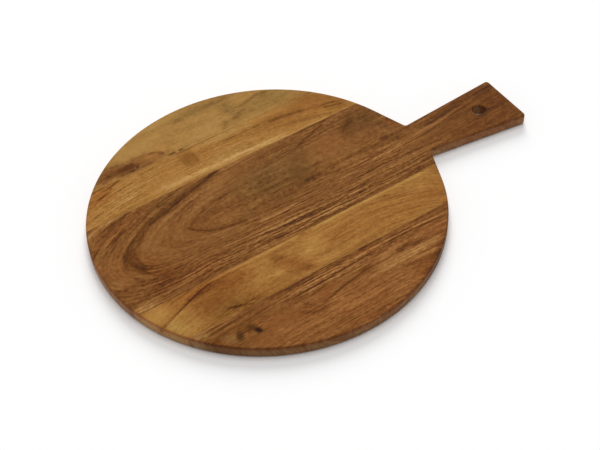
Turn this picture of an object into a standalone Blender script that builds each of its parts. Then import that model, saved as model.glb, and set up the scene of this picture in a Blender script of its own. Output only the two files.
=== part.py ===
"""Round paddle cutting board, glued up from five hardwood staves and sawn to a disc with a handle.

Units are metres. The origin is the disc's centre on the underside, +X runs along the handle and +Z is up.
The handle points right, so the back of the board is its +Y side and the front its -Y side.
"""

import math

import bmesh
import bpy
from mathutils import Vector

# The disc
BOARD_RADIUS = 0.150
BOARD_THICKNESS = 0.010
EDGE_ROUND = 0.0015
SHOULDER_ANGLE = math.radians(20.0)  # the rim leaves the circle this far either side of the handle's axis

# The handle
HANDLE_LENGTH = 0.100  # from the disc's radius to the square end
HANDLE_ROOT_WIDTH = 0.037
HANDLE_END_WIDTH = 0.057
HANDLE_CORNER_RADIUS = 0.003
ROOT_FILLET_RADIUS = 0.0025

# The hanging hole
HANGING_HOLE_DIAMETER = 0.012
HANGING_HOLE_FROM_END = 0.031
HANGING_HOLE_LIP = 0.0008

# The staves: the back ones are set out from the rim, the front ones from the wood beside the handle,
# and the two wide staves take up what is left
BACK_OUTER_WIDTH = 0.0508
BACK_INNER_WIDTH = 0.0383
FRONT_INNER_WIDTH = 0.0417
HANDLE_SIDE_WOOD = 0.0136  # between the handle's widest line and the front seam
GRAIN_TURN = math.radians(2.6)  # the panel lay this far askew when the outline was sawn

# The edge joints
GLUE_THICKNESS = 0.0002
GLUE_CLEARANCE = 0.00005

# The rough panel stands this far proud of the finished board all round
SAW_MARGIN = 0.010

# Facets
RIM_SEGMENTS = 150
CORNER_SEGMENTS = 6
EDGE_SEGMENTS = 3
HOLE_SEGMENTS = 48
LIP_SEGMENTS = 3
SMOOTH_BELOW = math.radians(30.0)
ROUND_ABOVE = math.radians(60.0)  # only the edges between the faces and the rim are this sharp
FLAT_WITHIN = math.radians(0.1)
WELD_DISTANCE = 0.00002

STAVES_FRONT_TO_BACK = (
    "front_outer_stave",
    "front_inner_stave",
    "handle_stave",
    "back_inner_stave",
    "back_outer_stave",
)

# Finish of each piece: colour in linear light, and roughness
FINISHES = {
    "back_outer_stave": ((0.40, 0.22, 0.065), 0.50),
    "back_inner_stave": ((0.42, 0.23, 0.065), 0.50),
    "handle_stave": ((0.20, 0.095, 0.032), 0.48),
    "front_inner_stave": ((0.36, 0.18, 0.050), 0.50),
    "front_outer_stave": ((0.25, 0.11, 0.033), 0.48),
}
GLUE_FINISH = ((0.14, 0.08, 0.035), 0.60)

HANDLE_END = BOARD_RADIUS + HANDLE_LENGTH
JOINT_GAP = GLUE_THICKNESS + 2 * GLUE_CLEARANCE


def clear_scene():
    for old in list(bpy.data.objects):
        bpy.data.objects.remove(old, do_unlink=True)


def new_collection(name, is_helper=False):
    collection = bpy.data.collections.new(name)
    collection.hide_render = is_helper
    bpy.context.scene.collection.children.link(collection)
    return collection


def make_helper(obj):
    obj.hide_render = True
    obj.display_type = "WIRE"


def new_material(name, finish):
    colour, roughness = finish
    material = bpy.data.materials.new(name)
    material.use_nodes = True
    shader = material.node_tree.nodes["Principled BSDF"]
    shader.inputs["Base Color"].default_value = (*colour, 1.0)
    shader.inputs["Roughness"].default_value = roughness
    shader.inputs["Metallic"].default_value = 0.0
    return material


def rounded_corner(before, corner, after, radius):
    """Points of the arc that rounds the corner between two straight edges."""
    to_before = (before - corner).normalized()
    to_after = (after - corner).normalized()
    half_angle = to_before.angle(to_after) / 2
    reach = radius / math.tan(half_angle)
    centre = corner + (to_before + to_after).normalized() * (radius / math.sin(half_angle))
    start = (corner + to_before * reach - centre).normalized()
    end = (corner + to_after * reach - centre).normalized()
    shares = [step / CORNER_SEGMENTS for step in range(CORNER_SEGMENTS + 1)]
    return [centre + start.slerp(end, share) * radius for share in shares]


def shoulder_corner():
    """Where the disc's tangent at the shoulder angle meets the handle's flared side, on the back half."""
    flare = (HANDLE_END_WIDTH - HANDLE_ROOT_WIDTH) / 2 / HANDLE_LENGTH
    side_at_centre = HANDLE_ROOT_WIDTH / 2 - flare * BOARD_RADIUS
    across = math.sin(SHOULDER_ANGLE)
    x = (BOARD_RADIUS - side_at_centre * across) / (math.cos(SHOULDER_ANGLE) + flare * across)
    return Vector((x, side_at_centre + flare * x))


def board_outline():
    """The disc's arc, then the straight shoulders and the handle's rounded corners, once round."""
    turn = 2 * (math.pi - SHOULDER_ANGLE)
    angles = [SHOULDER_ANGLE + turn * step / RIM_SEGMENTS for step in range(RIM_SEGMENTS + 1)]
    rim = [Vector((math.cos(angle), math.sin(angle))) * BOARD_RADIUS for angle in angles]
    mirror = Vector((1.0, -1.0))
    back_root = shoulder_corner()
    back_end = Vector((HANDLE_END, HANDLE_END_WIDTH / 2))
    front_root = back_root * mirror
    front_end = back_end * mirror
    outline = rim
    outline += rounded_corner(rim[-1], front_root, front_end, ROOT_FILLET_RADIUS)
    outline += rounded_corner(front_root, front_end, back_end, HANDLE_CORNER_RADIUS)
    outline += rounded_corner(front_end, back_end, back_root, HANDLE_CORNER_RADIUS)
    outline += rounded_corner(back_end, back_root, rim[0], ROOT_FILLET_RADIUS)
    return outline


def mesh_from_curve(curve_object, name, collection):
    """A welded mesh object in the curve's place, with each flat cap as one face. The curve is removed."""
    evaluated = curve_object.evaluated_get(bpy.context.evaluated_depsgraph_get())
    mesh = bpy.data.meshes.new_from_object(evaluated)
    work = bmesh.new()
    work.from_mesh(mesh)
    bmesh.ops.remove_doubles(work, verts=work.verts, dist=WELD_DISTANCE)
    bmesh.ops.dissolve_limit(work, angle_limit=FLAT_WITHIN, verts=work.verts, edges=work.edges)
    bmesh.ops.recalc_face_normals(work, faces=work.faces)
    work.to_mesh(mesh)
    work.free()
    obj = bpy.data.objects.new(name, mesh)
    obj.matrix_world = curve_object.matrix_world
    collection.objects.link(obj)
    bpy.data.objects.remove(curve_object, do_unlink=True)
    return obj


def outline_template(collection):
    """The finished board as one plate with rounded edges, which every stave is trimmed to."""
    outline = board_outline()
    curve = bpy.data.curves.new("board_outline", "CURVE")
    curve.dimensions = "2D"
    curve.fill_mode = "BOTH"
    curve.extrude = BOARD_THICKNESS / 2
    spline = curve.splines.new("POLY")
    spline.points.add(len(outline) - 1)
    for point, place in zip(spline.points, outline):
        point.co = (place.x, place.y, 0.0, 1.0)
    spline.use_cyclic_u = True
    drawn = bpy.data.objects.new("board_outline", curve)
    drawn.location.z = BOARD_THICKNESS / 2
    collection.objects.link(drawn)
    bpy.context.view_layer.update()
    template = mesh_from_curve(drawn, "outline_template", collection)
    rounding = template.modifiers.new("rounded_edges", "BEVEL")
    rounding.width = EDGE_ROUND
    rounding.segments = EDGE_SEGMENTS
    rounding.limit_method = "ANGLE"
    rounding.angle_limit = ROUND_ABOVE
    make_helper(template)
    return template


def hanging_hole_cutter(collection):
    """A turned plug: the straight bore, flaring to a rounded lip at either face of the board."""
    bore = HANGING_HOLE_DIAMETER / 2
    mouth = bore + HANGING_HOLE_LIP
    lip = []
    for step in range(LIP_SEGMENTS + 1):
        angle = math.pi / 2 * step / LIP_SEGMENTS
        radius = mouth - HANGING_HOLE_LIP * math.sin(angle)
        depth = HANGING_HOLE_LIP * (1 - math.cos(angle))
        lip.append((radius, depth))
    profile = [(0.0, BOARD_THICKNESS + SAW_MARGIN), (mouth, BOARD_THICKNESS + SAW_MARGIN)]
    profile += [(radius, BOARD_THICKNESS - depth) for radius, depth in lip]
    profile += [(radius, depth) for radius, depth in reversed(lip)]
    profile += [(mouth, -SAW_MARGIN), (0.0, -SAW_MARGIN)]
    mesh = bpy.data.meshes.new("hanging_hole_cutter")
    edges = [(index, index + 1) for index in range(len(profile) - 1)]
    mesh.from_pydata([(radius, 0.0, height) for radius, height in profile], edges, [])
    cutter = bpy.data.objects.new("hanging_hole_cutter", mesh)
    cutter.location.x = HANDLE_END - HANGING_HOLE_FROM_END
    collection.objects.link(cutter)
    turned = cutter.modifiers.new("turned", "SCREW")
    turned.axis = "Z"
    turned.steps = HOLE_SEGMENTS
    turned.render_steps = HOLE_SEGMENTS
    turned.use_merge_vertices = True
    turned.merge_threshold = WELD_DISTANCE
    make_helper(cutter)
    return cutter


def rough_strip(name, low, high, panel, collection):
    """A strip of the rough panel between two lines across the grain, longer and thicker than the board."""
    start = -(BOARD_RADIUS + SAW_MARGIN)
    end = HANDLE_END + SAW_MARGIN
    bpy.ops.mesh.primitive_cube_add(size=1.0)
    strip = bpy.context.active_object
    strip.name = name
    strip.data.name = name
    strip.scale = (end - start, high - low, BOARD_THICKNESS + 2 * SAW_MARGIN)
    bpy.ops.object.transform_apply(location=False, rotation=False, scale=True)
    strip.location = ((start + end) / 2, (low + high) / 2, BOARD_THICKNESS / 2)
    strip.parent = panel
    for holder in list(strip.users_collection):
        holder.objects.unlink(strip)
    collection.objects.link(strip)
    return strip


def trim(strip, cutter, operation):
    cut = strip.modifiers.new(cutter.name, "BOOLEAN")
    cut.operation = operation
    cut.object = cutter
    cut.solver = "EXACT"


def finish_piece(strip, finish):
    """Fixes the cuts into the piece's own mesh, shades its rounded edges smooth and gives it its finish."""
    bpy.context.view_layer.update()
    evaluated = strip.evaluated_get(bpy.context.evaluated_depsgraph_get())
    mesh = bpy.data.meshes.new_from_object(evaluated)
    mesh.name = strip.name
    strip.modifiers.clear()
    strip.data = mesh
    mesh.materials.clear()
    mesh.materials.append(new_material(strip.name, finish))
    mesh.shade_smooth()
    mesh.set_sharp_from_angle(angle=SMOOTH_BELOW)


def build_board():
    clear_scene()
    pieces = new_collection("round_cutting_board")
    helpers = new_collection("cutters", is_helper=True)
    template = outline_template(helpers)
    hole_cutter = hanging_hole_cutter(helpers)

    panel = bpy.data.objects.new("glued_panel", None)
    panel.rotation_euler.z = GRAIN_TURN
    pieces.objects.link(panel)

    rough_side = BOARD_RADIUS + SAW_MARGIN
    front_seam = -(HANDLE_END_WIDTH / 2 + HANDLE_SIDE_WOOD)
    back_seam = BOARD_RADIUS - BACK_OUTER_WIDTH
    seams = {
        "front_outer_glue_line": front_seam - FRONT_INNER_WIDTH,
        "front_inner_glue_line": front_seam,
        "back_inner_glue_line": back_seam - BACK_INNER_WIDTH,
        "back_outer_glue_line": back_seam,
    }
    lows = [-rough_side] + [seam + JOINT_GAP / 2 for seam in seams.values()]
    highs = [seam - JOINT_GAP / 2 for seam in seams.values()] + [rough_side]

    for name, low, high in zip(STAVES_FRONT_TO_BACK, lows, highs):
        stave = rough_strip(name, low, high, panel, pieces)
        trim(stave, template, "INTERSECT")
        if name == "handle_stave":
            trim(stave, hole_cutter, "DIFFERENCE")
        finish_piece(stave, FINISHES[name])

    for name, seam in seams.items():
        low = seam - GLUE_THICKNESS / 2
        glue_line = rough_strip(name, low, low + GLUE_THICKNESS, panel, pieces)
        trim(glue_line, template, "INTERSECT")
        finish_piece(glue_line, GLUE_FINISH)


build_board()
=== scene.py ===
"""The looks of the round paddle board: five oiled hardwood staves with their figure, on a pale floor.

Lengths are metres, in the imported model's frame: +X along the handle, +Y to the back, +Z up.
The figure of each stave is drawn in millimetres on the upper face, seen from above.
"""

import math

import bpy
import numpy as np
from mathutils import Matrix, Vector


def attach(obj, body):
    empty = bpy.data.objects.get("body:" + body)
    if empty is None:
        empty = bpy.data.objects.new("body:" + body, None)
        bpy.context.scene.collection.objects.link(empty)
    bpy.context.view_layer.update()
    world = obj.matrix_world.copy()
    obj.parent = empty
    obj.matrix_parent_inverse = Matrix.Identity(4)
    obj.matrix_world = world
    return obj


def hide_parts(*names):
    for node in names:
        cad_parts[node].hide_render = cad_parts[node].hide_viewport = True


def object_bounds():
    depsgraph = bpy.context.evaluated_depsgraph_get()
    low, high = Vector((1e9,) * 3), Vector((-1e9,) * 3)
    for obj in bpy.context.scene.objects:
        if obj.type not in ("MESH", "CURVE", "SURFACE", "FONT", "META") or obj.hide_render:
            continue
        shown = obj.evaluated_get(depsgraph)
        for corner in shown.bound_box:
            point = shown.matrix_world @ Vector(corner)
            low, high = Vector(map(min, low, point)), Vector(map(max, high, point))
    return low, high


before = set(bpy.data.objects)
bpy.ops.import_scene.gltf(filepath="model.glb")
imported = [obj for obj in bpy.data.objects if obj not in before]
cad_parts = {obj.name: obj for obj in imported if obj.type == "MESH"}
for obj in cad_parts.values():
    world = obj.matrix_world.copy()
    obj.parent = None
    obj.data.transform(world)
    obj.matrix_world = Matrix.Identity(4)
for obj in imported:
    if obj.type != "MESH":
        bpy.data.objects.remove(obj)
cad_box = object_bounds()

# The board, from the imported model's box
BOARD_RADIUS = -cad_box[0][0]
BOARD_THICKNESS = cad_box[1][2]
HANDLE_END = cad_box[1][0]

# The outline's other sizes, as the solids have them
EDGE_ROUND = 0.0015
SHOULDER_ANGLE = math.radians(20.0)
HANDLE_ROOT_WIDTH = 0.037
HANDLE_END_WIDTH = 0.057
HANDLE_CORNER_RADIUS = 0.003
ROOT_FILLET_RADIUS = 0.0025
HANGING_HOLE_RADIUS = 0.006
HANGING_HOLE_FROM_END = 0.031
HANGING_HOLE_X = HANDLE_END - HANGING_HOLE_FROM_END
HANGING_HOLE_LIP = 0.0008
JOINT_GAP = 0.0003

# Points of the surfaces: spacing, steps, weld, and the angle past which an edge is sharp
POINTS_ACROSS_GRAIN = 0.00075
POINTS_ALONG_GRAIN = 0.0010
FEWEST_COLUMNS = 6
COARSER_BELOW = 4
EDGE_STEPS = 5
WALL_STEPS = 5
HOLE_RINGS = 24
WELD_GRID = 2e-7
SHARP_EDGE = math.radians(40.0)

# Search for the rim by halving: how often, and from how many board radii out
RIM_HALVINGS = 60
PAST_THE_RIM = 1.05

MM = 1000.0


def seam_line(glue_line):
    """Offset and slope of the straight line that best fits a glue line's points, seen from above."""
    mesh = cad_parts[glue_line].data
    points = np.empty(len(mesh.vertices) * 3)
    mesh.vertices.foreach_get("co", points)
    points = points.reshape(-1, 3)
    slope, offset = np.polyfit(points[:, 0], points[:, 1], 1)
    return offset, slope


def along_seam(glue_line, side):
    """The edge of a stave beside a seam: the seam's line moved half the joint gap to one side."""
    offset, slope = seam_line(glue_line)
    return lambda x: offset + slope * x + side * JOINT_GAP / 2 * math.hypot(1.0, slope)


FLARE = (HANDLE_END_WIDTH - HANDLE_ROOT_WIDTH) / 2 / (HANDLE_END - BOARD_RADIUS)
SIDE_AT_CENTRE = HANDLE_ROOT_WIDTH / 2 - FLARE * BOARD_RADIUS
SIDE_STRETCH = math.hypot(1.0, FLARE)


def fillet_centre():
    """The point one fillet radius outside both the shoulder's line and the handle's side."""
    across, along = math.sin(SHOULDER_ANGLE), math.cos(SHOULDER_ANGLE)
    lines = np.array([[along, across], [-FLARE / SIDE_STRETCH, 1.0 / SIDE_STRETCH]])
    reach = [BOARD_RADIUS + ROOT_FILLET_RADIUS, ROOT_FILLET_RADIUS + SIDE_AT_CENTRE / SIDE_STRETCH]
    return np.linalg.solve(lines, reach)


FILLET_X, FILLET_Y = fillet_centre()
CORNER_X = HANDLE_END - HANDLE_CORNER_RADIUS
CORNER_Y = SIDE_AT_CENTRE + FLARE * CORNER_X - HANDLE_CORNER_RADIUS * SIDE_STRETCH


def outline_stations(inset):
    """Where along the handle's axis the outline, pulled in by inset, changes from form to form."""
    fillet = ROOT_FILLET_RADIUS + inset
    corner = HANDLE_CORNER_RADIUS - inset
    return (
        (BOARD_RADIUS - inset) * math.cos(SHOULDER_ANGLE),
        FILLET_X - fillet * math.cos(SHOULDER_ANGLE),
        FILLET_X + fillet * FLARE / SIDE_STRETCH,
        CORNER_X - corner * FLARE / SIDE_STRETCH,
    )


def half_breadth(x, inset):
    """Half the board's breadth at x, pulled in by inset all round.

    Circle, then its tangent at the shoulder angle, then the hollow fillet arc at the handle's root,
    the flared side and the round arc at the end corner, each a formula of x.
    """
    shoulder, fillet_start, fillet_end, corner_start = outline_stations(inset)
    radius = BOARD_RADIUS - inset
    fillet = ROOT_FILLET_RADIUS + inset
    corner = HANDLE_CORNER_RADIUS - inset
    circle = np.sqrt(np.maximum(radius ** 2 - x ** 2, 0.0))
    tangent = (radius - x * math.cos(SHOULDER_ANGLE)) / math.sin(SHOULDER_ANGLE)
    hollow = FILLET_Y - np.sqrt(np.maximum(fillet ** 2 - (x - FILLET_X) ** 2, 0.0))
    side = SIDE_AT_CENTRE + FLARE * x - inset * SIDE_STRETCH
    end = CORNER_Y + np.sqrt(np.maximum(corner ** 2 - (x - CORNER_X) ** 2, 0.0))
    zones = [x < shoulder, x < fillet_start, x < fillet_end, x < corner_start]
    return np.select(zones, [circle, tangent, hollow, side], end)


def rim_crossing(edge, inset, outward):
    """x where a stave's edge runs out of the rim on its left (outward -1) or right (+1), by halving."""
    inside, outside = 0.0, outward * BOARD_RADIUS * PAST_THE_RIM
    for _ in range(RIM_HALVINGS):
        middle = (inside + outside) / 2
        in_circle = abs(middle) < BOARD_RADIUS - inset or middle > 0
        if in_circle and half_breadth(np.array(middle), inset) > abs(edge(middle)):
            inside = middle
        else:
            outside = middle
    return inside


def rounded_section(radius):
    """Distance from the wall, and height, down a wall's section from the upper face to the lower one.

    A quarter round of the given radius, the straight wall, and a quarter round again.
    """
    quarter = np.linspace(0.0, math.pi / 2, EDGE_STEPS + 1)
    away = radius * (1.0 - np.sin(quarter))
    drop = radius * (1.0 - np.cos(quarter))
    straight = np.linspace(BOARD_THICKNESS - radius, radius, WALL_STEPS + 1)[1:-1]
    distances = np.concatenate([away, np.zeros(len(straight)), away[::-1]])
    heights = np.concatenate([BOARD_THICKNESS - drop, straight, drop[::-1]])
    return distances, heights


def lifted(plan, height):
    """Plan points with a height added as their third coordinate."""
    return np.concatenate([plan, np.full(plan.shape[:-1] + (1,), height)], axis=-1)


class StavePlan:
    """A stave from above: the strip inside the outline between two edges, lines along the grain."""

    def __init__(self, low_edge, high_edge, has_handle):
        self.low_edge = low_edge
        self.high_edge = high_edge
        self.has_handle = has_handle
        self.counts = None

    def corners(self, inset):
        """The x of every corner of the strip's sides, in order, for the outline pulled in by inset."""
        edges = [edge for edge in (self.low_edge, self.high_edge) if edge]
        crossings = [rim_crossing(edge, inset, outward) for edge in edges for outward in (-1, 1)]
        if not self.has_handle:
            return sorted(crossings)
        ends = [inset - BOARD_RADIUS, HANDLE_END - inset]
        return sorted(crossings + list(outline_stations(inset)) + ends)

    def stations(self, inset):
        """x of the columns: an even run between corners, closing up like a cosine at the two ends."""
        corners = self.corners(inset)
        if self.counts is None:
            self.counts = [
                max(FEWEST_COLUMNS, round((end - start) / POINTS_ALONG_GRAIN))
                for start, end in zip(corners, corners[1:])
            ]
        runs = []
        for index, count in enumerate(self.counts):
            share = np.linspace(0.0, 1.0, count + 1)
            if index == 0:
                share = 1.0 - np.cos(share * math.pi / 2)
            if index == len(self.counts) - 1:
                share = np.sin(share * math.pi / 2)
            run = corners[index] + (corners[index + 1] - corners[index]) * share
            runs.append(run if index == 0 else run[1:])
        return np.concatenate(runs)

    def sides(self, inset):
        """x, low y and high y of every column: the outline or the edge, whichever is further in."""
        x = self.stations(inset)
        breadth = half_breadth(x, inset)
        low = np.maximum(-breadth, self.low_edge(x)) if self.low_edge else -breadth
        high = np.minimum(breadth, self.high_edge(x)) if self.high_edge else breadth
        high = np.maximum(high, low)
        high[0] = low[0]
        if not self.has_handle:
            high[-1] = low[-1]
        return x, low, high

    def rows(self):
        """Number of steps across the strip at its widest."""
        _, low, high = self.sides(EDGE_ROUND)
        return round((high - low).max() / POINTS_ACROSS_GRAIN)

    def face(self, inset, rows):
        """Grid of plan points: straight lines across the strip, divided evenly, one for each column."""
        x, low, high = self.sides(inset)
        share = np.linspace(0.0, 1.0, rows + 1)
        y = low[:, None] + (high - low)[:, None] * share
        return np.stack([np.broadcast_to(x[:, None], y.shape), y], axis=-1)


def once_round(face):
    """The border of a grid of plan points, anticlockwise from the first column's low end."""
    return np.concatenate([face[:, 0], face[-1, 1:], face[-2::-1, -1], face[0, -2::-1]])


def hole_ring(border, spread):
    """A circle about the hanging hole, wider by spread, with a point facing each border point."""
    centre = np.array([HANGING_HOLE_X, 0.0])
    away = border - centre
    return centre + away / np.linalg.norm(away, axis=1, keepdims=True) * (HANGING_HOLE_RADIUS + spread)


def hole_fan(border, rings):
    """Grid of plan points round the hole: straight lines from its lip to each point of the border."""
    lip = hole_ring(border, HANGING_HOLE_LIP)[:, None]
    return lip + (border[:, None] - lip) * np.linspace(0.0, 1.0, rings + 1)[:, None]


def sunken(grid, knot):
    """A grid with the hollow of a knot pressed into it, as deep as the knot's cloud is strong."""
    middle, half_sizes, turn, depth = knot
    weight = cloud_weight(grid[..., 0] * MM, grid[..., 1] * MM, middle, half_sizes, turn)
    return grid - weight[..., None] * np.array([0.0, 0.0, depth])


def stave_patches(plan, knot):
    """Grids that close a stave: both faces, the rim's section carried round, and the hole if any.

    Each patch is its grid of points and whether its faces are turned over to point outwards.
    A knot is a hollow in the upper face. The underside has fewer rows, and in the handle stave
    a strip joins them to the border round the hole.
    """
    rows = plan.rows()
    rows_below = rows // COARSER_BELOW
    section = zip(*rounded_section(EDGE_ROUND))
    rims = [lifted(once_round(plan.face(pull, rows)), height) for pull, height in section]
    patches = [(np.stack(rims, axis=1), True)]
    face = plan.face(EDGE_ROUND, rows)
    below = plan.face(EDGE_ROUND, rows_below)
    solid = face
    if plan.has_handle:
        last = np.searchsorted(face[:, 0, 0], 2 * HANGING_HOLE_X - HANDLE_END)
        solid = face[:last + 1]
        below = below[:last]
        nearest = np.round(np.linspace(0, rows_below, rows + 1)).astype(int)
        patches.append((lifted(np.stack([below[-1][nearest], face[last]]), 0.0), True))
        border = once_round(face[last:])
        patches.append((lifted(hole_fan(border, HOLE_RINGS), BOARD_THICKNESS), True))
        patches.append((lifted(hole_fan(border, HOLE_RINGS // COARSER_BELOW), 0.0), False))
        section = zip(*rounded_section(HANGING_HOLE_LIP))
        bores = [lifted(hole_ring(border, spread), height) for spread, height in section]
        patches.append((np.stack(bores, axis=1), False))
    upper = lifted(solid, BOARD_THICKNESS)
    patches.append((sunken(upper, knot) if knot else upper, False))
    patches.append((lifted(below, 0.0), True))
    return patches


def closed_surface(name, patches):
    """One mesh object from grids of points: a quad for each cell, points in the same place made one."""
    points = []
    quads = []
    first = 0
    for grid, turned in patches:
        number = first + np.arange(grid.shape[0] * grid.shape[1]).reshape(grid.shape[:2])
        cell = [number[:-1, :-1], number[1:, :-1], number[1:, 1:], number[:-1, 1:]]
        cell = np.stack(cell[::-1] if turned else cell, axis=-1)
        quads.append(cell.reshape(-1, 4))
        points.append(grid.reshape(-1, 3))
        first += number.size
    points = np.concatenate(points)
    quads = np.concatenate(quads)
    places = np.round(points / WELD_GRID).astype(np.int64)
    _, kept, number = np.unique(places, axis=0, return_index=True, return_inverse=True)
    points = points[kept]
    quads = number.reshape(-1)[quads]
    is_corner = quads != np.roll(quads, 1, axis=1)
    whole = is_corner.sum(axis=1) > 2
    corners = quads[whole][is_corner[whole]]
    sizes = is_corner[whole].sum(axis=1)
    mesh = bpy.data.meshes.new(name)
    mesh.vertices.add(len(points))
    mesh.vertices.foreach_set("co", points.astype(np.float32).reshape(-1))
    mesh.loops.add(len(corners))
    mesh.loops.foreach_set("vertex_index", corners.astype(np.int32))
    mesh.polygons.add(len(sizes))
    mesh.polygons.foreach_set("loop_start", (np.cumsum(sizes) - sizes).astype(np.int32))
    mesh.update(calc_edges=True)
    mesh.shade_smooth()
    mesh.set_sharp_from_angle(angle=SHARP_EDGE)
    piece = bpy.data.objects.new(name, mesh)
    bpy.context.scene.collection.objects.link(piece)
    return piece, points


# Figure of the staves, drawn in millimetres on the upper face
# A line is how much lighter (+) or darker (-) it is, its half width, and the points it runs through
# A cloud is how much lighter (+) or darker (-), redder (+) or more olive (-) and more streaky (+)
# it is, then its middle, half sizes and turn in degrees

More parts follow.
